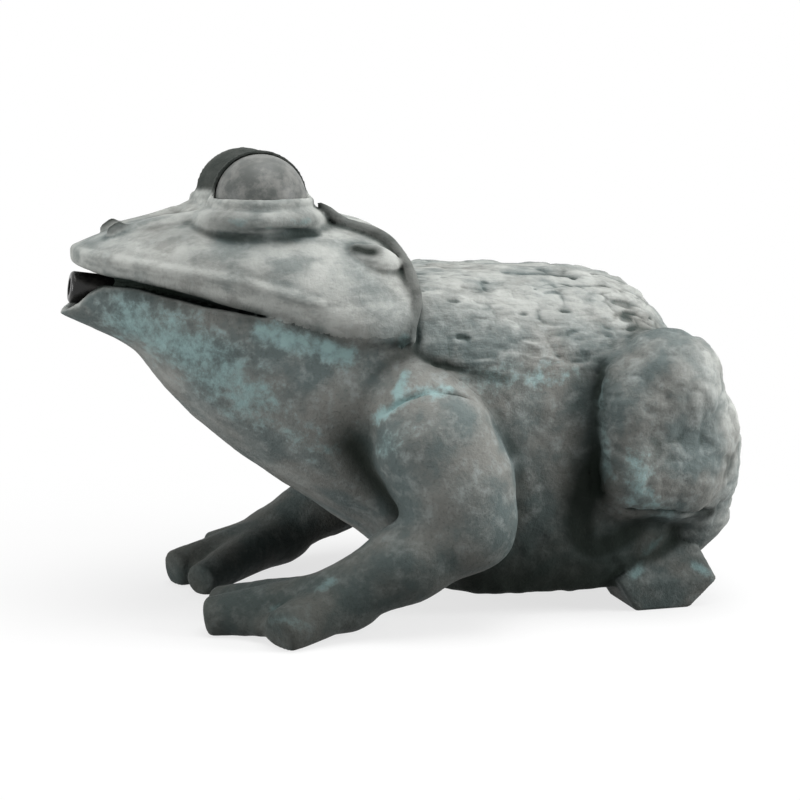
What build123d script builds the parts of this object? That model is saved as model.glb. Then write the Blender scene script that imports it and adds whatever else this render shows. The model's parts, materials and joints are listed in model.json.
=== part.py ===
from build123d import *
import math
import os

# Garden frog that spits water: hollow bronze shells and solid limbs brazed together, with its plumbing.
# The frog faces -X with its left side at -Y, and its feet stand on Z = 0 under the middle of its box.

# Overall sizes, in millimetres
overall_length = 280.0
head_length = 140.0
rump_setback = 5.0
crown_height = 166.0
back_height = 141.0
head_half_width = 58.0
trunk_half_width = 62.0
trunk_girth_height = 60.0
trunk_depth = 82.0
belly_clearance = 9.0
casting_wall = 4.5

# Fits
seam_gap = 0.2
socket_clearance = 0.15
overrun = 6.0

# Neck seam, where the head, throat and trunk castings meet
neck_half_width = 56.0
neck_rise = 2.0
neck_girth_height = 72.0
neck_bottom = 16.0
nape_step = 8.5

# Mouth
snout_setback = 7.0
snout_depth = 22.0
mouth_drop = 43.0
lip_gap = 5.0
lip_depth = 17.0

# Eyes, ears and nostrils
eye_radius = 18.3
eye_setback = 79.5
eye_half_span = 19.5
eye_rise = 5.2
brow_margin = 3.0
brow_trail = 3.0
brow_half_thickness = 13.0
brow_inset = 6.5
brow_drop = 3.0
lid_margin = 7.0
lid_width = 21.0
lid_thickness = 12.0
lid_drop = 10.5
ear_lead = 22.0
ear_length = 10.0
ear_width = 6.3
ear_thickness = 3.0
ear_tilt = 35.0
nostril_setback = 24.0
nostril_half_span = 8.0
nostril_bump = 5.5
nostril_radius = 1.8
nostril_lean = 35.0
fold_radius = 3.2

# Warts in rows along the back
wart_length = 8.0
wart_width = 3.0
wart_rise = 1.4

# Forelegs
shoulder_lead = 3.0
shoulder_height = 86.0
shoulder_half_span = 57.0
arm_length = 26.0
arm_thickness = 19.0
elbow_trail = 13.0
elbow_height = 41.5
elbow_half_span = 67.0
elbow_radius = 17.0
wrist_lead = 37.0
wrist_height = 17.0
wrist_half_span = 60.0
wrist_radius = 14.0
toe_radius = 9.5
toe_height = 7.5
outer_toe_lead = 61.0
outer_toe_half_span = 69.0
middle_toe_lead = 79.0
middle_toe_half_span = 39.0
inner_toe_lead = 82.0
inner_toe_half_span = 15.0
web_thickness = 9.0

# Hind legs
knee_setback = 38.0
knee_height = 95.0
knee_half_span = 58.0
knee_radius = 24.0
shank_setback = 39.0
shank_height = 62.0
shank_half_span = 60.0
shank_radius = 23.0
haunch_height = 57.0
haunch_half_span = 47.0
haunch_radius = 24.0
heel_setback = 28.0
heel_height = 38.0
heel_tuck = 1.0
heel_radius = 21.5
thigh_setback = 53.0
thigh_height = 89.0
thigh_half_span = 57.0
thigh_radius = 21.0
calf_setback = 54.0
calf_height = 60.0
calf_half_span = 58.0
calf_radius = 21.0

# Hind feet
foot_lead = 9.0
foot_spread = 7.0
foot_tuck = 21.0
foot_toe_width = 41.0
foot_root_width = 30.0
foot_toe_height = 15.0
foot_root_height = 34.0
foot_corner = 4.0
ankle_spread = 2.0
ankle_radius = 4.0
ankle_reach = 12.0

# Spigots that carry the legs in the trunk
spigot_radius = 8.0
spigot_reach = 5.0
arm_spigot_trail = 12.0
arm_spigot_drop = 8.0
leg_spigot_rise = 8.0

# Plumbing
pipe_radius = 5.0
pipe_wall = 1.0
pipe_bend = 24.0
pipe_headroom = 28.0
pipe_seat = 9.0
nozzle_wall = 1.5
nozzle_length = 30.0
nozzle_setback = 4.5
nozzle_drop = 7.5
nozzle_lip = 1.5
nozzle_bore = 3.5
post_thickness = 7.0
post_wall = 4.0
strap_drop = 10.0
strap_width = 22.0
strap_thickness = 3.0
strap_end_gap = 2.0
lug_length = 12.0
lug_height = 10.0
screw_radius = 2.0
screw_length = 10.0
screw_head_radius = 3.8
screw_head_height = 2.4
thread_wall = 3.0
thread_length = 18.0
nut_across_flats = 22.0
nut_height = 6.0
washer_radius = 11.5
washer_thickness = 2.0
flange_radius = 12.0
flange_thickness = 4.0
tail_radius = 6.5
tail_length = 20.0
tail_chamfer = 1.0

# Shapes of the shells' cross-sections, from the snout to the rump
span_steps = 3
head_x_shares = (0.0, 0.08, 0.185, 0.29, 0.465, 0.665, 0.855)
head_width_shares = (0.155, 0.345, 0.55, 0.69, 0.855, 0.955, 1.0)
head_top_shares = (0.922, 0.951, 0.98, 0.994, 1.0, 1.006, 0.984)
rim_drop_shares = (0.0, 0.08, 0.125, 0.19, 0.325, 0.55, 0.81)
rim_gap_shares = (2.75, 1.3, 1.0, 0.95, 0.75, 0.28, 0.0)
head_cover_share = 0.6
throat_x_shares = (0.0, 0.1, 0.215, 0.315, 0.43, 0.607, 0.8)
throat_width_shares = (0.06, 0.295, 0.52, 0.64, 0.735, 0.85, 0.925)
throat_drop_shares = (0.0, 0.068, 0.155, 0.32, 0.465, 0.64, 0.81)
throat_girth_shares = (0.07, 0.53, 0.67, 0.73, 0.7, 0.58, 0.47)
trunk_x_shares = (0.23, 0.54, 0.73, 0.86, 0.94, 1.0)
trunk_width_shares = (0.975, 1.0, 0.93, 0.76, 0.52, 0.2)
trunk_top_shares = (1.0, 0.99, 0.95, 0.84, 0.7, 0.54)
trunk_depth_shares = (0.94, 1.0, 0.98, 0.81, 0.5, 0.22)
flank_fullness_shares = (0.7, 0.66, 0.5, 0.5, 0.52, 0.55)
head_fullness_share = 0.6
throat_fullness_share = 0.58
neck_fullness_share = 0.6
back_fullness_share = 0.57
ear_height_share = 0.6
fold_lead_shares = (0.285, 0.2, 0.11, 0.045, 0.035, 0.05, 0.07)
fold_arc_shares = (0.68, 0.65, 0.62, 0.6, 0.5, 0.4, 0.3)
wart_x_shares = (0.14, 0.32, 0.5, 0.68)
wart_shift_shares = (0.0, 0.09, 0.0)
wart_arc_shares = (0.57, 0.72, 0.88)
facing_step_share = 0.02

# Shapes of the limbs along their bones
arm_place_shares = (-0.4, -0.15, 0.2, 0.6, 1.0)
arm_length_shares = (0.45, 0.82, 1.0, 0.95, 0.68)
arm_thickness_shares = (0.45, 0.8, 1.0, 1.0, 0.9)
toe_waist_share = 1.15
web_reach_share = 0.85
web_root_share = 0.35
web_lift_share = 0.1

# Places along the frog
front_x = -overall_length / 2
rear_x = overall_length / 2
neck_x = front_x + head_length
snout_x = front_x + snout_setback
rump_x = rear_x - rump_setback
eye_x = front_x + eye_setback

# Heights that follow the crown, the back and the girth
mouth_height = crown_height - snout_depth
lip_height = mouth_height - lip_depth
eye_height = crown_height + eye_rise
neck_height = back_height + neck_rise
strap_height = trunk_girth_height - strap_drop

# Turned sizes that follow the pipe
nozzle_radius = pipe_radius + nozzle_wall
thread_radius = pipe_radius + thread_wall


def ring(station, inset):
    """One closed cross-section standing square to X, in four quarters, widest at the height of the girth."""
    x, half_width, top, girth, bottom, upper_share, lower_share = station
    top = top - inset
    bottom = bottom + inset
    rise = upper_share * (top - girth)
    fall = lower_share * (girth - bottom)
    with BuildSketch(Plane.YZ.offset(x)) as section:
        with BuildLine():
            for side in (1, -1):
                edge = side * (half_width - inset)
                Bezier((edge, girth), (edge, girth + rise), (upper_share * edge, top), (0, top))
                Bezier((edge, girth), (edge, girth - fall), (lower_share * edge, bottom), (0, bottom))
        make_face()
    return section.sketch


def slopes_of(places, values):
    """Slopes of a smooth curve through a table that never swings past its own values."""
    rates = [(v1 - v0) / (p1 - p0) for p0, p1, v0, v1 in zip(places, places[1:], values, values[1:])]
    inner = [0 if a * b <= 0 else 2 * a * b / (a + b) for a, b in zip(rates, rates[1:])]
    return [rates[0]] + inner + [rates[-1]]


def station_at(stations, x):
    """Cross-section between the hand-set ones, on a smooth curve through each of their values."""
    places = [station[0] for station in stations]
    index = max(i for i in range(len(places) - 1) if i == 0 or places[i] <= x)
    span = places[index + 1] - places[index]
    t = (x - places[index]) / span
    values = [x]
    for column in list(zip(*stations))[1:]:
        slopes = slopes_of(places, column)
        start = column[index] * (1 + 2 * t) + slopes[index] * span * t
        end = column[index + 1] * (3 - 2 * t) - slopes[index + 1] * span * (1 - t)
        values.append(start * (1 - t) ** 2 + end * t**2)
    return values


def skin(stations, inset):
    """Rings through the hand-set stations, with smooth steps between them."""
    places = [station[0] for station in stations]
    rings = [ring(stations[0], inset)]
    for start, end in zip(places, places[1:]):
        for step in range(1, span_steps + 1):
            rings.append(ring(station_at(stations, start + (end - start) * step / span_steps), inset))
    return rings


# Cross-sections of the three shells, which share the neck
neck_station = (
    neck_x,
    neck_half_width,
    neck_height,
    neck_girth_height,
    neck_bottom,
    neck_fullness_share,
    neck_fullness_share,
)
head_stations = []
upper_rim = []
lower_rim = [(front_x, lip_height)]
for index in range(len(head_x_shares)):
    x = snout_x + head_x_shares[index] * (neck_x - snout_x)
    girth = mouth_height - rim_drop_shares[index] * mouth_drop
    head_stations.append(
        (
            x,
            head_half_width * head_width_shares[index],
            crown_height * head_top_shares[index],
            girth,
            girth - head_cover_share * mouth_drop,
            head_fullness_share,
            head_fullness_share,
        )
    )
    upper_rim.append((x, girth))
    lower_rim.append((x, girth - seam_gap - rim_gap_shares[index] * lip_gap))
upper_rim.append((neck_x, mouth_height - mouth_drop))
lower_rim.append((neck_x, mouth_height - mouth_drop - seam_gap))

throat_stations = []
for index in range(len(throat_x_shares)):
    bottom = lip_height - throat_drop_shares[index] * (lip_height - neck_bottom)
    throat_stations.append(
        (
            front_x + throat_x_shares[index] * head_length,
            head_half_width * throat_width_shares[index],
            mouth_height,
            bottom + throat_girth_shares[index] * (mouth_height - bottom),
            bottom,
            throat_fullness_share,
            throat_fullness_share,
        )
    )
throat_stations.append(neck_station)

trunk_stations = [neck_station]
for index in range(len(trunk_x_shares)):
    trunk_stations.append(
        (
            neck_x + trunk_x_shares[index] * (rump_x - neck_x),
            trunk_half_width * trunk_width_shares[index],
            back_height * trunk_top_shares[index],
            trunk_girth_height,
            trunk_girth_height - trunk_depth * trunk_depth_shares[index],
            back_fullness_share,
            flank_fullness_shares[index],
        )
    )

# The nape stands one step proud of the trunk all round, and its inside meets the trunk's inside
nape_station = (
    neck_x,
    neck_half_width + nape_step / 2,
    neck_height + nape_step,
    neck_girth_height,
    neck_bottom,
    neck_fullness_share,
    neck_fullness_share,
)


def lip_cut(rim, level):
    """Face between a lip's edge and a level line, which cuts a shell along its lip."""
    start, end = rim[0], rim[-1]
    corners = [(end[0] + overrun, end[1]), (end[0] + overrun, level)]
    corners += [(start[0] - overrun, level), (start[0] - overrun, start[1])]
    with BuildSketch(Plane.XZ) as side:
        with BuildLine():
            Spline(*rim)
            Polyline(end, *corners, start)
        make_face()
    return side.sketch


def ellipsoid(plane, x_radius, y_radius, z_radius):
    """A ball stretched along the axes of the plane it sits on."""
    ball = scale(Sphere(1, mode=Mode.PRIVATE), by=(x_radius, y_radius, z_radius), mode=Mode.PRIVATE)
    return ball.moved(plane.location)


def skin_point(stations, x, arc_share, side):
    """Point on a shell's upper half, from its girth at 0 up to its top at 1."""
    half_width, top, girth, bottom, fullness = station_at(stations, x)[1:6]
    t = arc_share
    out = (1 - t) ** 3 + 3 * t * (1 - t) ** 2 + 3 * fullness * t**2 * (1 - t)
    up = 3 * fullness * t * (1 - t) ** 2 + 3 * t**2 * (1 - t) + t**3
    return Vector(x, side * half_width * out, girth + (top - girth) * up)


def ear_plane(side):
    """Plane on the skin behind the eye, facing out of it, with its long side rising to the front."""
    place = skin_point(head_stations + [nape_station], neck_x - ear_lead, ear_height_share, side)
    lean = math.radians(ear_tilt)
    facing = (0, side * math.sin(lean), math.cos(lean))
    return Plane(place, x_dir=(1, side * math.sin(lean), -math.sin(lean)), z_dir=facing)


def wart_plane(x_share, arc_share, side):
    """Plane on the skin of the back, facing out of it, with its long side along the frog."""
    length = rump_x - neck_x
    x = neck_x + x_share * length
    place = skin_point(trunk_stations, x, arc_share, side)
    behind = skin_point(trunk_stations, x + facing_step_share * length, arc_share, side)
    above = skin_point(trunk_stations, x, arc_share + facing_step_share, side)
    facing = (above - place).cross(behind - place) * side
    return Plane(place, x_dir=behind - place, z_dir=facing)


def nostril_plane(side):
    """Plane on top of the snout where a nostril opens outwards."""
    x = front_x + nostril_setback
    top = station_at(head_stations, x)[2]
    lean = math.radians(nostril_lean)
    facing = (-math.sin(lean), side * math.sin(lean), math.cos(lean))
    return Plane((x, side * nostril_half_span, top - nostril_bump / 2), z_dir=facing)


# Places of the strap and the nozzle, which points straight at the pipe's bend above the strap
strap_x, strap_wall = trunk_stations[1][:2]
strap_wall = strap_wall - casting_wall
strap_top = strap_height + strap_thickness
pipe_turn = Vector(strap_x, 0, back_height - pipe_headroom)
nozzle_front = Vector(front_x + nozzle_setback, 0, mouth_height - nozzle_drop)
nozzle_axis = Plane(origin=nozzle_front, x_dir=(0, 1, 0), z_dir=pipe_turn - nozzle_front)
post_axis = nozzle_axis.offset(nozzle_length - post_thickness)
post_x = post_axis.origin.X
post_floor = station_at(throat_stations, post_x)[4] + casting_wall / 2
screw_places = [(strap_x, side * (strap_wall - lug_length / 2)) for side in (1, -1)]
tail_top = strap_top + thread_length

# Places of the spigots that carry the legs
arm_spigot = (neck_x + arm_spigot_trail, shoulder_height - arm_spigot_drop)
leg_spigot = (rear_x - shank_setback, shank_height + leg_spigot_rise)
spigot_tip = neck_half_width - casting_wall - spigot_reach


# Full outer form of the chest, nape and trunk, one seam gap proud, which trims the limbs
with BuildPart() as limb_trim:
    loft(skin(head_stations + [nape_station], -seam_gap), ruled=True)
    extrude(lip_cut(upper_rim, 0), amount=head_half_width + overrun, both=True, mode=Mode.SUBTRACT)
    loft(skin(throat_stations, -seam_gap), ruled=True)
    loft(skin(trunk_stations, -seam_gap), ruled=True)

# Trunk: a shell open under the belly, with sockets for the legs and lugs for the strap
with BuildPart() as body_shell:
    loft(skin(trunk_stations, 0), ruled=True)
    for side in (1, -1):
        for arc_share, shift_share in zip(wart_arc_shares, wart_shift_shares):
            for x_share in wart_x_shares:
                place = wart_plane(x_share + shift_share, arc_share, side)
                add(ellipsoid(place, wart_length, wart_width, wart_rise))
    loft(skin(trunk_stations[:-1], casting_wall), ruled=True, mode=Mode.SUBTRACT)
    split(bisect_by=Plane.XY.offset(belly_clearance), keep=Keep.TOP)
    for side in (1, -1):
        with BuildSketch(Plane.XY.offset(strap_top)):
            with Locations((strap_x, side * (strap_wall - lug_length / 2 + casting_wall / 4))):
                Rectangle(strap_width, lug_length + casting_wall / 2)
        extrude(amount=lug_height)
    with BuildSketch(Plane.XY.offset(strap_top)):
        with Locations(*screw_places):
            Circle(screw_radius + socket_clearance)
    extrude(amount=screw_length, mode=Mode.SUBTRACT)
    with BuildSketch(Plane.XZ):
        with Locations(arm_spigot, leg_spigot):
            Circle(spigot_radius + socket_clearance)
    extrude(amount=trunk_half_width + overrun, both=True, mode=Mode.SUBTRACT)

# Upper head: snout, brows, eyelids, ears and the fold behind them, hollow behind the snout
with BuildPart() as head_shell:
    loft(skin(head_stations + [nape_station], 0), ruled=True)
    for side in (1, -1):
        fold = []
        for lead_share, arc_share in zip(fold_lead_shares, fold_arc_shares):
            x = neck_x - lead_share * head_length
            fold.append(skin_point(head_stations + [nape_station], x, arc_share, side))
        with BuildLine() as fold_line:
            Spline(*fold)
        with BuildSketch(Plane(origin=fold[0], z_dir=fold_line.line % 0)):
            Circle(fold_radius)
        sweep(path=fold_line.line)
    for side in (1, -1):
        brow = Plane((eye_x + brow_trail, side * (eye_half_span - brow_inset), eye_height - brow_drop))
        lid = Plane((eye_x, side * eye_half_span, eye_height - lid_drop))
        add(ellipsoid(brow, eye_radius + brow_margin, brow_half_thickness, eye_radius + brow_margin))
        add(ellipsoid(lid, eye_radius + lid_margin, lid_width, lid_thickness))
        add(ellipsoid(ear_plane(side), ear_length, ear_width, ear_thickness))
        add(ellipsoid(nostril_plane(side), nostril_bump, nostril_bump, nostril_bump))
    loft(skin(head_stations[1:] + [neck_station], casting_wall), ruled=True, mode=Mode.SUBTRACT)
    extrude(lip_cut(upper_rim, 0), amount=head_half_width + overrun, both=True, mode=Mode.SUBTRACT)
    for side in (1, -1):
        with BuildSketch(nostril_plane(side).offset(nostril_bump / 2)):
            Circle(nostril_radius)
        extrude(amount=nostril_bump, mode=Mode.SUBTRACT)
    with Locations((eye_x, eye_half_span, eye_height), (eye_x, -eye_half_span, eye_height)):
        Sphere(eye_radius + socket_clearance, mode=Mode.SUBTRACT)
    with BuildSketch(nozzle_axis):
        Circle(nozzle_radius + seam_gap)
    extrude(amount=nozzle_length, both=True, mode=Mode.SUBTRACT)

# Lower jaw, throat and chest, with the post that holds the nozzle in the mouth
with BuildPart() as throat_shell:
    loft(skin(throat_stations, 0), ruled=True)
    loft(skin(throat_stations[1:], casting_wall), ruled=True, mode=Mode.SUBTRACT)
    above = lip_cut(lower_rim, crown_height + neck_height)
    extrude(above, amount=head_half_width + overrun, both=True, mode=Mode.SUBTRACT)
    with BuildSketch(Plane.XY.offset(post_floor)):
        with Locations((post_x, 0)):
            Rectangle(post_thickness, 2 * nozzle_radius)
    extrude(amount=post_axis.origin.Z - post_floor)
    with BuildSketch(post_axis):
        Circle(nozzle_radius + post_wall)
    extrude(amount=post_thickness / 2, both=True)
    with BuildSketch(nozzle_axis):
        Circle(nozzle_radius + socket_clearance)
    extrude(amount=nozzle_length + overrun, mode=Mode.SUBTRACT)

# Eyes: smooth balls in the sockets
with BuildPart() as left_eye:
    with Locations((eye_x, -eye_half_span, eye_height)):
        Sphere(eye_radius)

# Foreleg: upper arm, forearm and a flat hand with three webbed toes, trimmed to the chest
shoulder = Vector(neck_x - shoulder_lead, -shoulder_half_span, shoulder_height)
elbow = Vector(neck_x + elbow_trail, -elbow_half_span, elbow_height)
wrist = Vector(neck_x - wrist_lead, -wrist_half_span, wrist_height)
toe_tips = [
    Vector(neck_x - outer_toe_lead, -outer_toe_half_span, toe_height),
    Vector(neck_x - middle_toe_lead, -middle_toe_half_span, toe_height),
    Vector(neck_x - inner_toe_lead, -inner_toe_half_span, toe_height),
]


def bone(start, end, places, lengths, thicknesses):
    """Oval sections along a bone, each long across the frog's side and thick outwards."""
    sections = []
    for place, length, thickness in zip(places, lengths, thicknesses):
        across = Plane(origin=start + (end - start) * place, x_dir=(1, 0, 0), z_dir=end - start)
        with BuildSketch(across) as section:
            Ellipse(length, thickness)
        sections.append(section.sketch)
    return sections


def tube(start, end, radii):
    """Round sections evenly spaced along a bone."""
    sections = []
    for index, radius in enumerate(radii):
        place = index / (len(radii) - 1)
        with BuildSketch(Plane(origin=start + (end - start) * place, z_dir=end - start)) as section:
            Circle(radius)
        sections.append(section.sketch)
    return sections


with BuildPart() as left_foreleg:
    arm_lengths = [share * arm_length for share in arm_length_shares]
    arm_thicknesses = [share * arm_thickness for share in arm_thickness_shares]
    loft(bone(shoulder, elbow, arm_place_shares, arm_lengths, arm_thicknesses))
    with Locations(elbow):
        Sphere(elbow_radius)
    with Locations(wrist):
        Sphere(wrist_radius)
    loft(tube(elbow, wrist, (elbow_radius, (elbow_radius + wrist_radius) / 2, wrist_radius)))
    for tip in toe_tips:
        loft(tube(wrist, tip, (wrist_radius, toe_waist_share * toe_radius, toe_radius)))
        with Locations(tip):
            Sphere(toe_radius)
    with BuildSketch(Plane.XY.offset(web_lift_share * web_thickness)):
        with BuildLine():
            web = [wrist + (tip - wrist) * web_reach_share for tip in toe_tips]
            palm = [wrist + (tip - wrist) * web_root_share for tip in (toe_tips[-1], toe_tips[0])]
            Polyline(*[(point.X, point.Y) for point in web + palm], close=True)
        make_face()
    extrude(amount=web_thickness)
    split(bisect_by=Plane.XY, keep=Keep.TOP)
    add(limb_trim.part, mode=Mode.SUBTRACT)
    with BuildSketch(Plane.XZ.offset(spigot_tip)):
        with Locations(arm_spigot):
            Circle(spigot_radius)
    extrude(amount=elbow_half_span - spigot_tip)

# Hind leg: haunch, knee and shank folded against the trunk, down to the heel
heel_x = rear_x - heel_setback
heel_half_span = station_at(trunk_stations, heel_x)[1] - heel_tuck
knee = Vector(rear_x - knee_setback, -knee_half_span, knee_height)
shank = Vector(rear_x - shank_setback, -shank_half_span, shank_height)
haunch = Vector(rear_x - haunch_radius, -haunch_half_span, haunch_height)
thigh = Vector(rear_x - thigh_setback, -thigh_half_span, thigh_height)
calf = Vector(rear_x - calf_setback, -calf_half_span, calf_height)
heel = Vector(heel_x, -heel_half_span, heel_height)
ankle = Vector(heel_x, -heel_half_span - ankle_spread, heel_height - heel_radius)
heel_bones = ((shank, shank_radius), (haunch, haunch_radius), (calf, calf_radius))

with BuildPart() as left_hind_leg:
    for joint, radius in heel_bones + ((knee, knee_radius), (thigh, thigh_radius), (heel, heel_radius)):
        with Locations(joint):
            Sphere(radius)
    loft(tube(haunch, knee, (haunch_radius, knee_radius)))
    loft(tube(knee, shank, (knee_radius, shank_radius)))
    loft(tube(knee, thigh, (knee_radius, thigh_radius)))
    loft(tube(thigh, calf, (thigh_radius, calf_radius)))
    for joint, radius in heel_bones:
        loft(tube(joint, heel, (radius, heel_radius)))
    add(limb_trim.part, mode=Mode.SUBTRACT)
    with BuildSketch(Plane.XZ.offset(spigot_tip)):
        with Locations(leg_spigot):
            Circle(spigot_radius)
    extrude(amount=shank_half_span - spigot_tip)
    with BuildSketch(Plane.XY.offset(ankle.Z - overrun)):
        with Locations((ankle.X, ankle.Y)):
            Circle(ankle_radius + socket_clearance)
    extrude(amount=ankle_reach + overrun, mode=Mode.SUBTRACT)

# Hind foot: a webbed wedge that spreads outwards from under the heel, flat underneath
foot_x = heel_x - foot_lead


def foot_section(half_span, width, height):
    """Upright round-cornered section of the hind foot, with its lower corners under the ground."""
    with BuildSketch(Plane.XZ.offset(half_span)) as section:
        with Locations((foot_x, (height - foot_corner) / 2)):
            RectangleRounded(width, height + foot_corner, foot_corner)
    return section.sketch


with BuildPart() as left_hind_foot:
    root = foot_section(heel_half_span - foot_tuck, foot_root_width, foot_root_height)
    toe = foot_section(heel_half_span + foot_spread, foot_toe_width, foot_toe_height)
    loft([root, toe])
    split(bisect_by=Plane.XY, keep=Keep.TOP)
    add(limb_trim.part, mode=Mode.SUBTRACT)
    with Locations(heel):
        Sphere(heel_radius + seam_gap, mode=Mode.SUBTRACT)
    for joint, radius in heel_bones:
        loft(tube(joint, heel, (radius + seam_gap, heel_radius + seam_gap)), mode=Mode.SUBTRACT)
    with BuildSketch(Plane.XY.offset(foot_corner)):
        with Locations((ankle.X, ankle.Y)):
            Circle(ankle_radius)
    extrude(amount=ankle.Z + ankle_reach - foot_corner)

# Nozzle: a turned spout in the post, with a seat for the pipe at its back
with BuildPart() as spout_nozzle:
    with BuildSketch(nozzle_axis):
        Circle(nozzle_radius)
        Circle(nozzle_bore, mode=Mode.SUBTRACT)
    extrude(amount=nozzle_length)
    with BuildSketch(nozzle_axis.offset(nozzle_length - pipe_seat)):
        Circle(pipe_radius + socket_clearance)
    extrude(amount=pipe_seat, mode=Mode.SUBTRACT)
    rims = spout_nozzle.edges().filter_by(GeomType.CIRCLE).sort_by(Axis.X)[:2]
    fillet(rims.sort_by(SortBy.RADIUS)[-1], radius=nozzle_lip)

# Pipe: from the nozzle's seat back through the throat, then down to the hose tail
pipe_start = nozzle_axis.offset(nozzle_length - pipe_seat).origin
pipe_end = Vector(strap_x, 0, tail_top - pipe_seat)
with BuildPart() as water_pipe:
    with BuildLine() as route:
        FilletPolyline(pipe_start, pipe_turn, pipe_end, radius=pipe_bend)
    with BuildSketch(Plane(origin=pipe_start, z_dir=nozzle_axis.z_dir)):
        Circle(pipe_radius)
        Circle(pipe_radius - pipe_wall, mode=Mode.SUBTRACT)
    sweep(path=route.line)

# Strap screwed up against the lugs, with a hole for the hose tail
with BuildPart() as pipe_bracket:
    with BuildSketch(Plane.XY.offset(strap_height)):
        with Locations((strap_x, 0)):
            Rectangle(strap_width, 2 * (strap_wall - strap_end_gap))
            Circle(thread_radius + socket_clearance, mode=Mode.SUBTRACT)
        with Locations(*screw_places):
            Circle(screw_radius + socket_clearance, mode=Mode.SUBTRACT)
    extrude(amount=strap_thickness)

# Screws of the strap, put in from below
with BuildPart() as bracket_screws:
    with BuildSketch(Plane.XY.offset(strap_height - screw_head_height)):
        with Locations(*screw_places):
            Circle(screw_head_radius)
    extrude(amount=screw_head_height)
    with BuildSketch(Plane.XY.offset(strap_height)):
        with Locations(*screw_places):
            Circle(screw_radius)
    extrude(amount=screw_length)

# Hose tail: stem for the hose, flange under the washer, thread through the strap and seat for the pipe
flange_top = strap_height - washer_thickness
tail_end = flange_top - flange_thickness - tail_length
with BuildPart() as hose_tail:
    with BuildSketch(Plane.XY.offset(tail_end)):
        with Locations((strap_x, 0)):
            Circle(tail_radius)
    extrude(amount=tail_length)
    chamfer(hose_tail.edges().group_by(Axis.Z)[0], length=tail_chamfer)
    with BuildSketch(Plane.XY.offset(flange_top - flange_thickness)):
        with Locations((strap_x, 0)):
            Circle(flange_radius)
    extrude(amount=flange_thickness)
    with BuildSketch(Plane.XY.offset(flange_top)):
        with Locations((strap_x, 0)):
            Circle(thread_radius)
    extrude(amount=tail_top - flange_top)
    with BuildSketch(Plane.XY.offset(tail_end)):
        with Locations((strap_x, 0)):
            Circle(pipe_radius - pipe_wall)
    extrude(amount=tail_top - tail_end, mode=Mode.SUBTRACT)
    with BuildSketch(Plane.XY.offset(tail_top - pipe_seat)):
        with Locations((strap_x, 0)):
            Circle(pipe_radius + socket_clearance)
    extrude(amount=pipe_seat, mode=Mode.SUBTRACT)

# Nut on top of the strap and washer under it
with BuildPart() as lock_nut:
    with BuildSketch(Plane.XY.offset(strap_top)):
        with Locations((strap_x, 0)):
            RegularPolygon(nut_across_flats / 2, 6, major_radius=False)
            Circle(thread_radius + socket_clearance, mode=Mode.SUBTRACT)
    extrude(amount=nut_height)

with BuildPart() as sealing_washer:
    with BuildSketch(Plane.XY.offset(flange_top)):
        with Locations((strap_x, 0)):
            Circle(washer_radius)
            Circle(thread_radius + socket_clearance, mode=Mode.SUBTRACT)
    extrude(amount=washer_thickness)

# The right side mirrors the left
with BuildPart() as right_eye:
    mirror(left_eye.part, about=Plane.XZ)

with BuildPart() as right_foreleg:
    mirror(left_foreleg.part, about=Plane.XZ)

with BuildPart() as right_hind_leg:
    mirror(left_hind_leg.part, about=Plane.XZ)

with BuildPart() as right_hind_foot:
    mirror(left_hind_foot.part, about=Plane.XZ)

pieces = {
    "body_shell": body_shell,
    "head_shell": head_shell,
    "throat_shell": throat_shell,
    "left_eye": left_eye,
    "right_eye": right_eye,
    "left_foreleg": left_foreleg,
    "right_foreleg": right_foreleg,
    "left_hind_leg": left_hind_leg,
    "right_hind_leg": right_hind_leg,
    "left_hind_foot": left_hind_foot,
    "right_hind_foot": right_hind_foot,
    "spout_nozzle": spout_nozzle,
    "water_pipe": water_pipe,
    "pipe_bracket": pipe_bracket,
    "bracket_screws": bracket_screws,
    "hose_tail": hose_tail,
    "lock_nut": lock_nut,
    "sealing_washer": sealing_washer,
}

os.makedirs("parts", exist_ok=True)
for name, piece in pieces.items():
    piece.part.label = name
    export_step(piece.part, "parts/" + name + ".step")
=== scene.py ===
"""Garden frog that spits water: sculpted bronze skin, patina, studio light and camera."""

import itertools
import json
import math

import bpy
import numpy as np
import openvdb
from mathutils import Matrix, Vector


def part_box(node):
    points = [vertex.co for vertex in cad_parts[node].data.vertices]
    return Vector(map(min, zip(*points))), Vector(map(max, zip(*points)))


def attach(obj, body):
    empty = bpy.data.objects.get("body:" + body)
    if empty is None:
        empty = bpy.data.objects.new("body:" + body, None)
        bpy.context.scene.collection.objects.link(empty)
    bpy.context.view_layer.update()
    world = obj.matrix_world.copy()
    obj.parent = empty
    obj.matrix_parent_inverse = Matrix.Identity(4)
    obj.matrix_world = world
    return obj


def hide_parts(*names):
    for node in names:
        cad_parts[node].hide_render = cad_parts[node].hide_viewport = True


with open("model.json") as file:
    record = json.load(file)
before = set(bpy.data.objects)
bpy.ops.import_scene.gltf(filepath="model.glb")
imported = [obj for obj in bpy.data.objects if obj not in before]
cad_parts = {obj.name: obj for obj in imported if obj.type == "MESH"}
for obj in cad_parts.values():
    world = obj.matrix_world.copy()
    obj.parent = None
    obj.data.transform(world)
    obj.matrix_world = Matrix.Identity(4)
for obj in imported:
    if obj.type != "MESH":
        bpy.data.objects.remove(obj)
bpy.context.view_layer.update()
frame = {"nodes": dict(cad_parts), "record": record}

# Sculpting grid over the frog's left half, in millimetres; the right half mirrors it
mm = 0.001
cell = 1.0
reach = 20.0
grid_low = np.array([-148.0, -94.0, -6.0])
grid_high = np.array([148.0, 0.0, 200.0])
counts = np.round((grid_high - grid_low) / cell).astype(int) + 1


def grid_line(low, count):
    """Places of the grid along one axis."""
    return np.float32(low) + np.float32(cell) * np.arange(count, dtype=np.float32)


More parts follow.
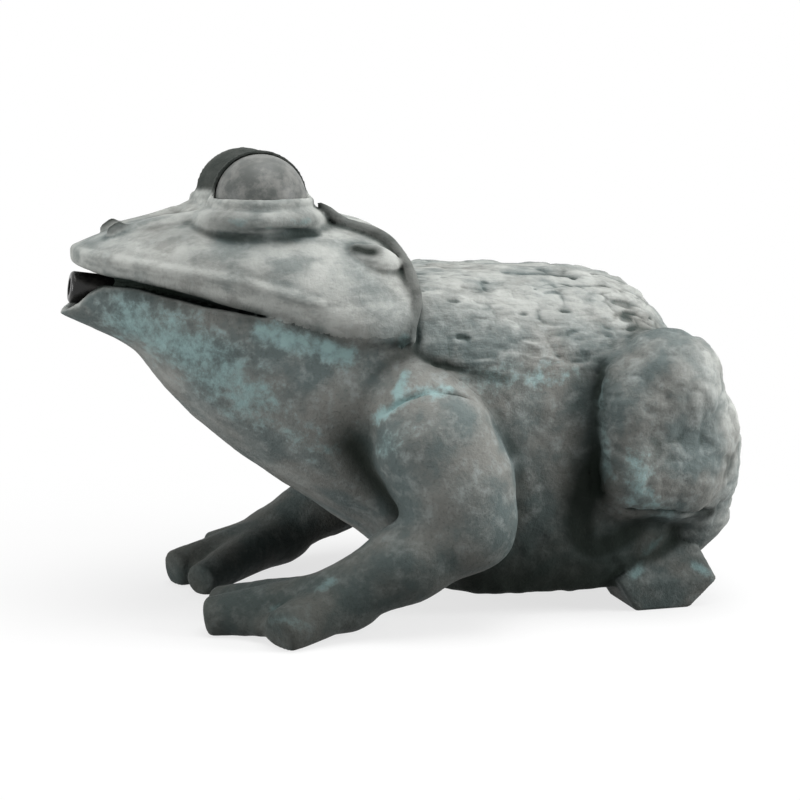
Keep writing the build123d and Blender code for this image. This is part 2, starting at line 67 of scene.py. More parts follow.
xs, ys, zs = (grid_line(low, count) for low, count in zip(grid_low, counts))
X = xs[:, None, None]
Y = ys[None, :, None]
Z = zs[None, None, :]

# Cross-sections of the head along X, as (x, value) points
head_width = (
    (-134, 7), (-131, 12), (-122, 20.5), (-108, 32), (-94, 40),
    (-71, 49.6), (-45, 55.4), (-19, 58), (2, 58),
)
head_top = (
    (-134, 153), (-122, 157.5), (-108, 162), (-94, 164.5), (-71, 166),
    (-45, 167), (-19, 163), (-8, 158), (2, 152),
)
lip_ridge = (
    (-134, 150.5), (-127, 149.5), (-115, 147), (-92, 143.8),
    (-72, 139.4), (-56, 135.4), (-32, 125.6), (2, 113),
)
lip_tuck = 20.0
upper_lip_edge = (
    (-134, 146), (-130, 144), (-124, 142), (-118, 141),
    (-104, 138.2), (-82, 132), (-62, 126.4), (-38, 119.1),
)
lower_lip_edge = (
    (-140, 126.5), (-133, 131), (-128, 135.5), (-122, 138.2), (-116, 138.2),
    (-104, 135.6), (-82, 129.8), (-62, 125.9), (-38, 119.1),
)

# Cross-sections of the lower jaw, throat and chest
throat_width = (
    (-140, 5), (-135, 9.5), (-126, 16.5), (-110, 28.5), (-96, 35.5),
    (-80, 41.5), (-55, 47.5), (-28, 52), (4, 55),
)
throat_top = ((-140, 152.0), (4, 152.0))
throat_girth = (
    (-140, 128), (-126, 131), (-110, 131), (-96, 128), (-80, 122), (-55, 106), (-28, 88), (4, 72),
)
throat_bottom = (
    (-140, 126), (-126, 119.5), (-110, 110), (-96, 92), (-80, 76), (-55, 56.5), (-28, 37.5), (4, 15),
)

# Cross-sections of the trunk, and the (z, x) line where the head meets it
trunk_width = (
    (-26, 48), (-8, 55.5), (0, 57), (31, 60.5), (73, 62), (98, 57.7), (116, 47), (127, 32), (135, 12),
)
trunk_top = (
    (-26, 136), (-8, 142), (8, 142), (31, 141), (73, 140),
    (98, 134.5), (116, 118.4), (127, 98.7), (135, 76),
)
trunk_girth = ((-26, 78), (-8, 74), (31, 60), (135, 60))
trunk_bottom = (
    (-26, 44), (-8, 22), (0, 15), (31, -17), (73, -22), (98, -20.4), (116, -6.4), (127, 19), (135, 42),
)
trunk_squareness = ((-26, 4.4), (5, 4.0), (40, 3.0), (80, 2.45), (135, 2.3))
trunk_half_width = max(width for _, width in trunk_width)
nape_edge = ((90, -13), (112, -9.5), (128, -9), (138, -3.5), (150, -2), (170, -2))
belly_height = 9.0
wall = 4.5

# Eye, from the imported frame
eye_low, eye_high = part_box("left_eye")
eye = np.array((eye_low + eye_high) / 2) / mm
eye_radius = (eye_high.x - eye_low.x) / 2 / mm


def profile(points, places):
    """Values on a smooth curve through given points, which never swings past them."""
    at, value = np.array(points, np.float32).T
    rate = np.diff(value) / np.diff(at)
    turns = rate[:-1] * rate[1:] <= 0
    inner = np.where(turns, 0, 2 * rate[:-1] * rate[1:] / np.where(turns, 1, rate[:-1] + rate[1:]))
    slopes = np.concatenate([rate[:1], inner, rate[-1:]])
    i = np.clip(np.searchsorted(at, places) - 1, 0, len(at) - 2)
    span = at[i + 1] - at[i]
    t = np.clip((places - at[i]) / span, 0, 1)
    start = value[i] * (1 + 2 * t) + slopes[i] * span * t
    end = value[i + 1] * (3 - 2 * t) - slopes[i + 1] * span * (1 - t)
    return (start * (1 - t) ** 2 + end * t**2).astype(np.float32)


def along(points):
    """A profile along X, shaped to meet the grid."""
    return profile(points, xs)[:, None, None]


def loft(width, top, girth, bottom, crown_power, keel_power):
    """Distance to a form whose sections square to X are superellipses, widest at the girth."""
    w, g, t, b = (along(points) for points in (width, girth, top, bottom))
    across = np.abs(Y) / w
    crown_power = along(crown_power) if np.ndim(crown_power) else crown_power
    crown = (across**crown_power + (np.maximum(Z - g, 0) / (t - g)) ** crown_power) ** (1 / crown_power)
    keel = (across**keel_power + (np.maximum(g - Z, 0) / (g - b)) ** keel_power) ** (1 / keel_power)
    level = np.where(Z > g, crown, keel) - 1
    steepness = np.sqrt(sum(part * part for part in np.gradient(level, cell)))
    distance = np.clip(level / np.maximum(steepness, 1e-3), -reach, reach)
    return np.maximum(distance, np.maximum(width[0][0] - X, X - width[-1][0]))


def join(a, b, radius):
    """Union of two forms with a fillet of about that radius."""
    share = np.clip(0.5 + 0.5 * (b - a) / radius, 0, 1)
    return b + (a - b) * share - radius * share * (1 - share)


def overlap(a, b, radius):
    """What two forms share, with its edge rounded."""
    return -join(-a, -b, radius)


def offset_from(centre):
    """Distances along X, Y and Z from a point to the grid."""
    return [axis - c for axis, c in zip((X, Y, Z), centre)]


def past_plane(point, out):
    """Distance beyond a plane through a point, along a direction."""
    x, y, z = offset_from(point)
    return x * out[0] + y * out[1] + z * out[2]


def egg(offset, radii):
    """Distance to an ellipsoid, from the offsets along its own axes."""
    near = np.sqrt(sum((o / r) ** 2 for o, r in zip(offset, radii)))
    far = np.sqrt(sum((o / r**2) ** 2 for o, r in zip(offset, radii)))
    return near * (near - 1) / np.maximum(far, 1e-6)


def ellipsoid(centre, radii):
    """Distance to an ellipsoid in line with the axes."""
    return egg(offset_from(centre), radii)


def ring(centre, x_radius, y_radius, tube):
    """Distance to a level oval ring of round section."""
    x, y, z = offset_from(centre)
    out = (np.sqrt((x / x_radius) ** 2 + (y / y_radius) ** 2) - 1) * (x_radius + y_radius) / 2
    return np.sqrt(out**2 + z**2) - tube


def bone(start, end, start_radius, end_radius, box=np.s_[:, :, :]):
    """Distance to a tapered round limb between two points."""
    start, end = np.array(start, np.float32), np.array(end, np.float32)
    run = end - start
    x, y, z = (axis - c for axis, c in zip((X[box[0]], Y[:, box[1]], Z[:, :, box[2]]), start))
    t = np.clip((x * run[0] + y * run[1] + z * run[2]) / (run @ run), 0, 1)
    distance = np.sqrt((x - t * run[0]) ** 2 + (y - t * run[1]) ** 2 + (z - t * run[2]) ** 2)
    return distance - (start_radius + (end_radius - start_radius) * t)


def chain(points, radii, fillet):
    """Tapered limbs from point to point, joined with fillets."""
    form = None
    for start, end, r0, r1 in zip(points, points[1:], radii, radii[1:]):
        piece = bone(start, end, r0, r1)
        form = piece if form is None else join(form, piece, fillet)
    return form


def sample(field, points):
    """Values of a field at points of the left half."""
    at = np.clip((points - grid_low) / cell, 0, counts - 1.001)
    low = at.astype(int)
    part = at - low
    total = 0
    for corner in itertools.product((0, 1), repeat=3):
        i, j, k = (low + corner).T
        total = total + np.prod(np.where(corner, part, 1 - part), axis=1) * field[i, j, k]
    return total


def facing(field, points):
    """Unit vectors in which a field rises fastest."""
    steps = cell * np.eye(3)
    rise = np.stack([sample(field, points + step) - sample(field, points - step) for step in steps], 1)
    return rise / np.maximum(np.linalg.norm(rise, axis=1, keepdims=True), 1e-9)


def on_skin(field, points, lift=0.0):
    """Points moved onto a form, or a little above it."""
    points = np.array(points, float)
    for _ in range(5):
        points = points - (sample(field, points) - lift)[:, None] * facing(field, points)
    return points


def smooth_line(points, steps=7):
    """More points on a smooth curve through given ones."""
    points = np.array(points, float)
    ends = np.concatenate([2 * points[:1] - points[1:2], points, 2 * points[-1:] - points[-2:-1]])
    line = []
    for a, b, c, d in zip(ends, ends[1:], ends[2:], ends[3:]):
        for t in np.arange(steps) / steps:
            bend = (2 * a - 5 * b + 4 * c - d) * t**2 + (3 * (b - c) + d - a) * t**3
            line.append(0.5 * (2 * b + (c - a) * t + bend))
    return np.array(line + [points[-1]])


# A stroke's thickness at its ends and how fast it grows from there, as shares of the full one
stroke_end_share = 0.35
stroke_growth_share = 2.6


def stroke(field, points, radius, fillet, lift=0.0, dig=False):
    """Adds a rounded ridge along a line on the skin, or digs a groove, thinning out to both ends."""
    line = smooth_line(on_skin(field, points, lift))
    margin = radius + 3 * fillet
    low = np.maximum(((line.min(0) - margin - grid_low) / cell).astype(int), 0)
    high = np.minimum(((line.max(0) + margin - grid_low) / cell).astype(int) + 2, counts)
    box = tuple(slice(a, b) for a, b in zip(low, high))
    arch = np.sin(np.pi * np.linspace(0, 1, len(line)))
    radii = radius * np.minimum(1, stroke_end_share + stroke_growth_share * arch)
    form = None
    for start, end, r0, r1 in zip(line, line[1:], radii, radii[1:]):
        piece = bone(start, end, r0, r1, box)
        form = piece if form is None else np.minimum(form, piece)
    field[box] = overlap(field[box], -form, fillet) if dig else join(field[box], form, fillet)


def soften(field, size):
    """A field averaged over a small cube around each point, twice."""
    half = max(1, int(round(size / cell / 2)))
    for axis, _ in itertools.product(range(3), range(2)):
        edges = [(half + 1, half) if i == axis else (0, 0) for i in range(3)]
        sums = np.cumsum(np.pad(field, edges, mode="reflect"), axis=axis, dtype=np.float64)
        upper = np.take(sums, range(2 * half + 1, sums.shape[axis]), axis=axis)
        lower = np.take(sums, range(0, sums.shape[axis] - 2 * half - 1), axis=axis)
        field = ((upper - lower) / (2 * half + 1)).astype(np.float32)
    return field


# Head: loft with its underside tucked in to the lip
head_crown_power = 2.1
head_keel_power = 2.0
nape_round = 4.0
lip_round = 2.0
head_bottom = tuple((x, z - lip_tuck) for x, z in lip_ridge)
head_form = loft(head_width, head_top, lip_ridge, head_bottom, head_crown_power, head_keel_power)
neck = X - profile(nape_edge, zs)[None, None, :]
head_form = overlap(head_form, neck, nape_round)

# Round the eye: a hood on its inner side, the lid's pad under it and two rings
hood_radius = 20.0
hood_setback = 1.5
hood_edge_round = 0.8
hood_fillet = 2.5
lid_shift = (-0.5, -1.0, -7.0)
lid_radii = (24.0, 20.0, 9.0)
lid_fillet = 5.0
# Each ring has its shift from the eye, its radii along X and Y, its tube's radius and its fillet
eye_rings = {
    "rim": ((0.0, -0.5, -0.6), 19.4, 19.0, 1.9, 2.0),
    "lid": ((-1.0, -1.0, -7.6), 22.6, 21.0, 3.6, 3.5),
}
hood_ball = ellipsoid(eye, (hood_radius, hood_radius, hood_radius))
hood = overlap(hood_ball, eye[1] + hood_setback - Y, hood_edge_round)
head = join(head_form, hood, hood_fillet)
head = join(head, ellipsoid(eye + lid_shift, lid_radii), lid_fillet)
for shift, x_radius, y_radius, tube, fillet in eye_rings.values():
    head = join(head, ring(eye + shift, x_radius, y_radius, tube), fillet)
head = overlap(head, along(upper_lip_edge) - Z, lip_round)

# Lower jaw, throat and chest
throat_crown_power = 3.0
throat_keel_power = 1.95
throat_form = loft(
    throat_width, throat_top, throat_girth, throat_bottom, throat_crown_power, throat_keel_power
)
throat = overlap(throat_form, Z - along(lower_lip_edge), lip_round)

# Trunk, open under the belly
trunk_keel_power = 2.4
belly_round = 3.0
trunk_form = loft(trunk_width, trunk_top, trunk_girth, trunk_bottom, trunk_squareness, trunk_keel_power)
trunk = overlap(trunk_form, belly_height - Z, belly_round)

# Foreleg: upper arm and forearm
arm_points = ((-5, -50, 90), (0, -57, 76), (9, -62, 58), (13, -65, 44))
arm_radii = (18, 23, 22, 17.5)
arm_fillet = 8.0
forearm_points = ((13, -65, 42), (-12, -64, 29.5), (-38, -60, 16.5))
forearm_radii = (17.5, 15, 12.5)
forearm_fillet = 6.0
elbow_fillet = 7.0
arm = chain(arm_points, arm_radii, arm_fillet)
forearm = chain(forearm_points, forearm_radii, forearm_fillet)
foreleg = join(arm, forearm, elbow_fillet)

# Hand: three toes with blunt ends
wrist = np.array((-36.0, -60.0, 15.0))
wrist_radius = 11.5
toe_tips = np.array(((-64.0, -71.0, 7.0), (-86.0, -42.0, 7.0), (-79.0, -21.0, 6.5)))
toe_radii = (9.0, 8.4, 7.2)
toe_overrun = 3.5
toe_end_round = 3.0
hand_fillet = 4.0
for tip, toe_radius in zip(toe_tips, toe_radii):
    toe = bone(wrist, tip, wrist_radius, toe_radius)
    ahead = (tip - wrist) / np.linalg.norm(tip - wrist)
    blunt = past_plane(tip, ahead) - toe_overrun
    foreleg = join(foreleg, overlap(toe, blunt, toe_end_round), hand_fillet)

# Webs between the toes
web_shares = (0.25, 0.5, 0.75)
web_reach_share = 0.88
web_root = wrist - (0, 0, 3)
web_root_radius = 7.0
web_tip_drop = (0, 0, 2.0)
web_tip_radius = 4.4
for first, second in zip(toe_tips, toe_tips[1:]):
    for share in web_shares:
        web_tip = wrist + ((first + (second - first) * share) - wrist) * web_reach_share - web_tip_drop
        foreleg = join(foreleg, bone(web_root, web_tip, web_root_radius, web_tip_radius), hand_fillet)

# Hind leg: knee, folded thigh and shank in front, haunch and heel behind
shank_points = ((101, -56, 95), (87, -56, 88), (87, -57, 62), (103, -58, 60))
shank_radii = (22, 20, 20.5, 21.5)
haunch_points = ((101, -56, 95), (113, -51, 72), (116, -45, 57), (121, -40, 38), (118, -38, 27))
haunch_radii = (22, 21, 21, 14, 10)
leg_fillet = 6.0
hind_leg = chain(shank_points, shank_radii, leg_fillet)
hind_leg = join(hind_leg, chain(haunch_points, haunch_radii, leg_fillet), leg_fillet)

# Hind foot: a webbed fan with flat facets, each a direction and a point on it
foot_edge_round = 1.5
foot_facets = {
    "outer side": ((0, -0.98, -0.2), (103, -60, 12)),
    "upper side": ((0, -0.77, 0.64), (103, -60, 13)),
    "instep": ((-0.585, 0, 0.81), (80, -60, 13.6)),
    "heel top": ((0.407, 0, 0.913), (105, -50, 31.6)),
    "heel": ((0.937, 0, 0.348), (124.7, -60, 11.8)),
    "under the toes": ((-0.83, 0, -0.56), (80, -60, 13.6)),
    "under the heel": ((0.727, 0, -0.688), (124.7, -60, 11.8)),
    "inner side": ((0, 1, 0), (103, -28, 0)),
}
hind_foot = None
for out, point in foot_facets.values():
    facet = past_plane(point, out)
    hind_foot = facet if hind_foot is None else overlap(hind_foot, facet, foot_edge_round)

# The shells' own form: head and throat each count on their side of the lips, or inside the other
below_lip = np.minimum(along(upper_lip_edge) - Z, throat_form)
above_lip = np.minimum(Z - along(lower_lip_edge), head_form)
core_form = np.maximum(np.maximum(throat_form, neck), above_lip)
core_form = np.minimum(np.minimum(np.maximum(head_form, below_lip), core_form), trunk_form)

# How deep the mouth goes in: a groove between the lips, and wide open at the spout
lip_groove = 2.4
spout_mouth_depth = 40.0
spout_mouth_end = -119.0
spout_mouth_fade = 5.0
mouth_depth = lip_groove + spout_mouth_depth * np.clip((spout_mouth_end - X) / spout_mouth_fade, 0, 1)

# One blended skin over all of it, with softer cheeks behind the mouth and a plug behind the lips
lip_fillet = 3.0
cheek_fillet = 15.0
cheek_start = -62.0
cheek_run = 30.0
plug_end = -34.0
nape_fillet = 2.5
shoulder_fillet = 6.0
hip_fillet = 5.0
ankle_fillet = 1.5
jaw_fillet = lip_fillet + cheek_fillet * np.clip((X - cheek_start) / cheek_run, 0, 1)
core = np.minimum(join(head, throat, jaw_fillet), np.maximum(core_form + mouth_depth, X - plug_end))
core = join(core, trunk, nape_fillet)
skin = join(join(core, foreleg, shoulder_fillet), hind_leg, hip_fillet)
skin = join(skin, hind_foot, ankle_fillet)

# The fold runs from the eye round the ear, and a ridge follows the upper lip
fold_lift = 1.3
fold_points = (
    (-40, -26, 168), (-28, -27.5, 165), (-17, -30, 158.5), (-11, -33.5, 150.5),
    (-10.5, -43, 139), (-13.5, -51, 127), (-13, -57, 117),
)
fold = on_skin(skin, fold_points, fold_lift)
lip_line_heights = (150.5, 148.8, 146.5, 144.5, 140.1, 132.5)
lip_line = [(x, -width, z) for (x, width), z in zip(head_width[1:7], lip_line_heights)]

# Folds, ridges and creases in the order of work: line, radius, fillet, lift, and True where it is dug in
strokes = {
    "fold": (fold, 2.3, 1.2, fold_lift, False),
    "behind the fold": (
        ((-5, -36, 146), (-3, -44, 138), (-5, -53, 126), (-6, -58, 112)), 1.6, 1.5, 0.3, True
    ),
    "upper lip": (lip_line, 1.2, 3.0, 0.0, False),
    "under the lid": (
        ((-70, -44, 159), (-58, -46, 158.5), (-48, -44, 159), (-40, -39, 160)), 1.3, 2.0, 0.0, True
    ),
    "snout": (((-118, -9, 160), (-104, -13, 163), (-88, -18, 166)), 1.6, 4.0, 0.0, False),
    "nostril": (((-119, -9.5, 158), (-115, -10, 160)), 2.0, 2.0, 0.5, False),
    "shoulder": (((-33, -54, 80), (-20, -62, 90), (-3, -66, 95), (15, -65, 93)), 0.9, 1.5, 0.0, True),
    "over the foot": (((76, -70, 44), (90, -76, 39), (104, -74, 37), (120, -64, 40)), 2.0, 2.5, 0.0, True),
    "before the thigh": (((69, -62, 108), (64, -66, 84), (68, -64, 52)), 1.4, 5.0, 0.0, True),
    "over the shoulder": (((-9, -57, 114), (1, -58, 109), (15, -59, 104)), 1.0, 2.0, 0.0, True),
}
for line, radius, fillet, lift, dig in strokes.values():
    stroke(skin, line, radius, fillet, lift, dig)

# Warts in rows along the back, as on the solid
wart_row_widths = (39.0, 27.0, 12.0)
wart_columns = 4
wart_first = 18.9
wart_pitch = 24.3
wart_stagger = 12.2
wart_half_length = 6
wart_heights = (138, 138, 137)
wart_radius = 2.8
wart_fillet = 2.0
wart_lift = -1.6
for row, width in enumerate(wart_row_widths):
    for column in range(wart_columns):
        middle = wart_first + wart_pitch * column + wart_stagger * (row % 2)
        y = -width * float(profile(trunk_width, middle)) / trunk_half_width
        places = (middle - wart_half_length, middle, middle + wart_half_length)
        line = [(x, y, z) for x, z in zip(places, wart_heights)]
        stroke(skin, line, wart_radius, wart_fillet, lift=wart_lift)

# Ear: an oval bump with a hollow in its front half
ear_place = (-20, -43, 148)
ear_lean = (0.95, -0.1, -0.3)
ear_radii = (11.0, 6.2, 3.8)
ear_fillet = 1.2
ear_hollow_shift = -6.8
ear_hollow_lift = 3.6
ear_hollow_radii = (7.0, 5.2, 2.6)
ear_hollow_fillet = 2.5
ear = on_skin(skin, (ear_place,))[0]
ear_out = facing(skin, ear[None])[0]
ear_long = np.cross(ear_out, np.cross(ear_lean, ear_out))
ear_long = ear_long / np.linalg.norm(ear_long)
ear_side = np.cross(ear_out, ear_long)


def ear_oval(shift, lift, radii):
    """Distance to an ellipsoid on the ear, moved along its length and out from the head."""
    centre = ear + ear_long * shift + ear_out * lift
    return egg([past_plane(centre, axis) for axis in (ear_long, ear_side, ear_out)], radii)


skin = join(skin, ear_oval(0.0, 0.0, ear_radii), ear_fillet)
skin = overlap(skin, -ear_oval(ear_hollow_shift, ear_hollow_lift, ear_hollow_radii), ear_hollow_fillet)

# Mouth: a real slit between the lips, and room for the eye and the spout
slit_end = -64.0
slit_edge_round = 0.8
eye_clearance = 0.4
spout_tilt = 1.5
spout_overrun = (6, 0, 0)
spout_room_radius = 8.2
slit = np.maximum(np.maximum(Z - along(upper_lip_edge), along(lower_lip_edge) - Z), X - slit_end)
slit = np.maximum(slit, -core_form - mouth_depth)
skin = overlap(skin, -slit, slit_edge_round)
from_eye = np.sqrt(sum(offset**2 for offset in offset_from(eye)))
skin = np.maximum(skin, eye_radius + eye_clearance - from_eye)
spout_low, spout_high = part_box("spout_nozzle")
spout_height = (spout_low.z + spout_high.z) / 2
spout_front = np.array((spout_low.x, 0, spout_height + spout_tilt * mm)) / mm
spout_back = np.array((spout_high.x, 0, spout_height - spout_tilt * mm)) / mm
uncut = skin
spout_room = bone(spout_front - spout_overrun, spout_back, spout_room_radius, spout_room_radius)
skin = np.maximum(skin, -spout_room)
skin = np.maximum(skin, -Z)

# Inside the shells, as on the solids: lugs over the strap's ends
fitting_inset = 0.5
lug_half_length = 11.0
lug_half_width = 7.0
lug_inset = 3.0
lug_half_height = 5.0
screw_hole_radius = 2.6
screw_inset = 4.0
strap_low, strap_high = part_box("pipe_bracket")
strap_end = np.array(((strap_low.x + strap_high.x) / 2, strap_low.y, strap_high.z)) / mm
from_end = offset_from(strap_end)
lug = np.maximum(np.abs(from_end[0]) - lug_half_length, np.abs(from_end[1] - lug_inset) - lug_half_width)
lug = np.maximum(lug, np.abs(from_end[2] - lug_half_height) - lug_half_height)
lug = np.maximum(lug, screw_hole_radius - np.sqrt(from_end[0] ** 2 + (from_end[1] - screw_inset) ** 2))

# The post that holds the nozzle, with a boss round it
post_setback = 23.0
post_half_length = 3.5
post_half_width = 6.5
boss_radius = 10.5
boss_bore_radius = 6.9
spout_run = (spout_back - spout_front) / np.linalg.norm(spout_back - spout_front)
from_front = past_plane(spout_front, spout_run)
from_axis = np.sqrt(sum(offset**2 for offset in offset_from(spout_front)) - from_front**2)
post_middle = spout_front + spout_run * post_setback
post = np.maximum(np.abs(X - post_middle[0]) - post_half_length, np.abs(Y) - post_half_width)
post = np.maximum(post, Z - post_middle[2])
boss = np.maximum(np.abs(from_front - post_setback) - post_half_length, from_axis - boss_radius)
post = np.maximum(np.minimum(post, boss), boss_bore_radius - from_axis)
fittings = {
    "body_shell": np.maximum(lug, uncut + fitting_inset),
    "throat_shell": np.maximum(post, uncut + fitting_inset),
}

# Which casting owns which stretch of the skin
shells = ("body_shell", "head_shell", "throat_shell")
limbs = {"foreleg": foreleg, "hind_leg": hind_leg, "hind_foot": hind_foot}
seam = 1.2 * cell
inside = core_form + wall
lip_middle = (along(upper_lip_edge) + along(lower_lip_edge)) / 2
own = {}
for name, form in limbs.items():
    others = np.minimum.reduce([core] + [other for key, other in limbs.items() if key != name])
    own[name] = np.maximum(form - others, -core - seam) - seam
casting = np.maximum.reduce([-field - 2 * seam for field in own.values()] + [-inside])
own["body_shell"] = np.maximum(casting, -neck - seam)
own["head_shell"] = np.maximum(casting, np.maximum(neck, lip_middle - Z) - seam)
own["throat_shell"] = np.maximum(casting, np.maximum(neck, Z - lip_middle) - seam)

# How far the limbs stand out past the shells, and the skin averaged to find its creases and recesses
leg_over_core = core - np.minimum(hind_leg, hind_foot)
arm_over_core = core - foreleg
crease_size = 5.0
recess_size = 16.0
hollow_near = soften(skin, crease_size)
hollow_wide = soften(skin, recess_size)


def random_field(points, size, seed):
    """Smooth random values from -1 to 1, over cells of that size along each axis."""
    at = points / np.array(size)
    base = np.floor(at).astype(np.int64)
    part = at - base
    fade = part**3 * (part * (part * 6 - 15) + 10)
    total = 0
    for corner in itertools.product((0, 1), repeat=3):
        i, j, k = (base + corner).T
        mixed = (i * 73856093) ^ (j * 19349663) ^ (k * 83492791) ^ (seed * 2654435)
        mixed = (mixed ^ (mixed >> 13)) * 1274126177 & 0x7FFFFFFF
        mixed = (mixed ^ (mixed >> 15)) & 0xFFFF
        total = total + np.prod(np.where(corner, fade, 1 - fade), axis=1) * (mixed / 32767.5 - 1)
    return total


def ramp(values, low, high):
    """Smooth step from 0 at low to 1 at high."""
    t = np.clip((values - low) / (high - low), 0, 1)
    return t * t * (3 - 2 * t)


# A limb's lead over the shells at which it counts as sunk in them, and as clear of them
sunk_lead = -2.0
clear_lead = 3.0

# Where the flank turns into the back, and where the back starts behind the head
flank_top = 94.0
back_edge = 110.0
back_start = -4.0
back_full = 3.0


def clear_share(lead, near):
    """1 where a limb stands clear of the shells and 0 where it is sunk in them."""
    return ramp(sample(lead, near), sunk_lead, clear_lead)


def limb_share(near):
    """1 on the legs and 0 on the shells."""
    return clear_share(np.maximum(leg_over_core, arm_over_core), near)


def high_share(heights):
    """1 on the upper part of the trunk and 0 on its flank."""
    return ramp(heights, flank_top, back_edge)


def back_share(near):
    """1 on the pebbled back and 0 elsewhere."""
    return high_share(near[:, 2]) * ramp(near[:, 0], back_start, back_full) * (1 - limb_share(near))


# Grain of the cast surface: its size along X, Y and Z, and its height
sway_grain = (12, 9, 9)
sway = 1.4
row_grain = (11, 3.6, 3.6)
row_height = 0.95
pit_grain = (6, 2.8, 2.8)
pit_depth = 0.6
hatch_grain = (4.5, 4.5, 6)
hatch_height = 0.5
lump_grain = (17, 17, 12)
lump_height = 0.7
grit_grain = (3.4, 3.4, 3.4)
grit_height = 0.49
knot_grain = (8, 8, 7)
knot_height = 1.12
knot_sink = 0.49
dent_grain = (8, 8, 8)
dent_height = 0.3
swell_grain = (13, 13, 13)
swell_height = 0.3
sand_grain = (2.6, 2.6, 2.6)
sand_height = 0.1

# Where the flank's hatching starts behind the arm, and the leg's lumps above the heel
hatch_start = 4.0
hatch_full = 14.0
lump_start = 24.0
lump_full = 38.0


def relief(points, near):
    """How far the cast surface stands out at each point, in millimetres."""
    x, z = points[:, 0], points[:, 2]
    leg = clear_share(leg_over_core, near)
    arm = clear_share(arm_over_core, near)
    flank = (1 - high_share(z)) * ramp(x, hatch_start, hatch_full) * (1 - leg) * (1 - arm)
    bend = points + sway * np.stack([random_field(points, sway_grain, seed) for seed in (1, 2, 3)], 1)
    rows = np.abs(random_field(bend, row_grain, 6)) ** 0.7 - 0.4
    pits = ramp(random_field(bend, pit_grain, 7), 0.5, 0.85)
    pebbles = row_height * rows - pit_depth * pits
    lumps = lump_height * random_field(bend, lump_grain, 9) + grit_height * random_field(bend, grit_grain, 11)
    knots = knot_height * np.abs(random_field(bend, knot_grain, 10)) ** 0.8 - knot_sink
    rough = (lumps + knots) * ramp(z, lump_start, lump_full)
    dents = dent_height * random_field(points, dent_grain, 12)
    hatching = hatch_height * random_field(bend, hatch_grain, 8)
    calm = swell_height * random_field(points, swell_grain, 4)
    calm = calm + sand_height * random_field(points, sand_grain, 5)
    return calm + back_share(near) * pebbles + flank * hatching + leg * rough + arm * dents


# Where verdigris has gathered: lines on the left side, each with its width and strength
stains = {
    "jaw": (((-114, -24, 121), (-98, -33, 115), (-84, -38, 104), (-72, -41, 92)), 15.0, 0.75),
    "corner of the mouth": (((-66, -47, 121), (-50, -51, 116), (-34, -54, 111)), 5.0, 1.0),
    "behind the cheek": (((-12, -58, 118), (-12, -60, 106), (-16, -63, 97)), 2.6, 1.0),
    "top of the shoulder": (((-16, -63, 97), (-6, -66, 98.5), (6, -66, 99)), 2.2, 0.6),
    "shoulder crease": (((-30, -56, 84), (-16, -64, 92), (-2, -68, 97)), 4.0, 0.8),
    "upper arm": (((-26, -64, 76), (-16, -70, 80), (-6, -72, 84)), 6.0, 0.6),
    "hand": (((-44, -67, 23), (-54, -65, 16), (-64, -60, 12)), 3.0, 0.8),
    "toes": (((-58, -80, 12), (-68, -76, 14), (-74, -66, 8)), 3.0, 0.6),
    "throat": (((-80, -40, 96), (-62, -45, 82), (-46, -47, 68)), 12.0, 0.5),
    "hind foot": (((85, -57, 12), (104, -56, 30), (121, -57, 12)), 2.4, 0.9),
    "before the thigh": (((70, -63, 108), (65, -66, 84), (70, -70, 60)), 5.0, 0.55),
    "shank": (((80, -76, 66), (84, -76, 50), (96, -73, 38)), 8.0, 0.6),
    "flank": (((16, -56, 100), (36, -60, 101), (58, -60, 102)), 7.0, 0.5),
    "lid": (((-84, -40, 165), (-62, -43, 163), (-42, -40, 165)), 2.0, 0.6),
}

# Pale lines on upright faces: painted light on the haunch's rear side and along the chest's lower edge, and a
# paler patch on the throat
weathered_and_painted_light = {
    "haunch": (((116, -68, 100), (126, -60, 82), (132, -54, 60), (130, -46, 40)), 14.0, 1.0),
    "throat": (((-72, -42, 86), (-58, -45, 74), (-46, -46, 64)), 13.0, 0.35),
    "chest": (((-108, -14, 112), (-88, -20, 88), (-66, -22, 68), (-44, -20, 52)), 9.0, 0.45),
}
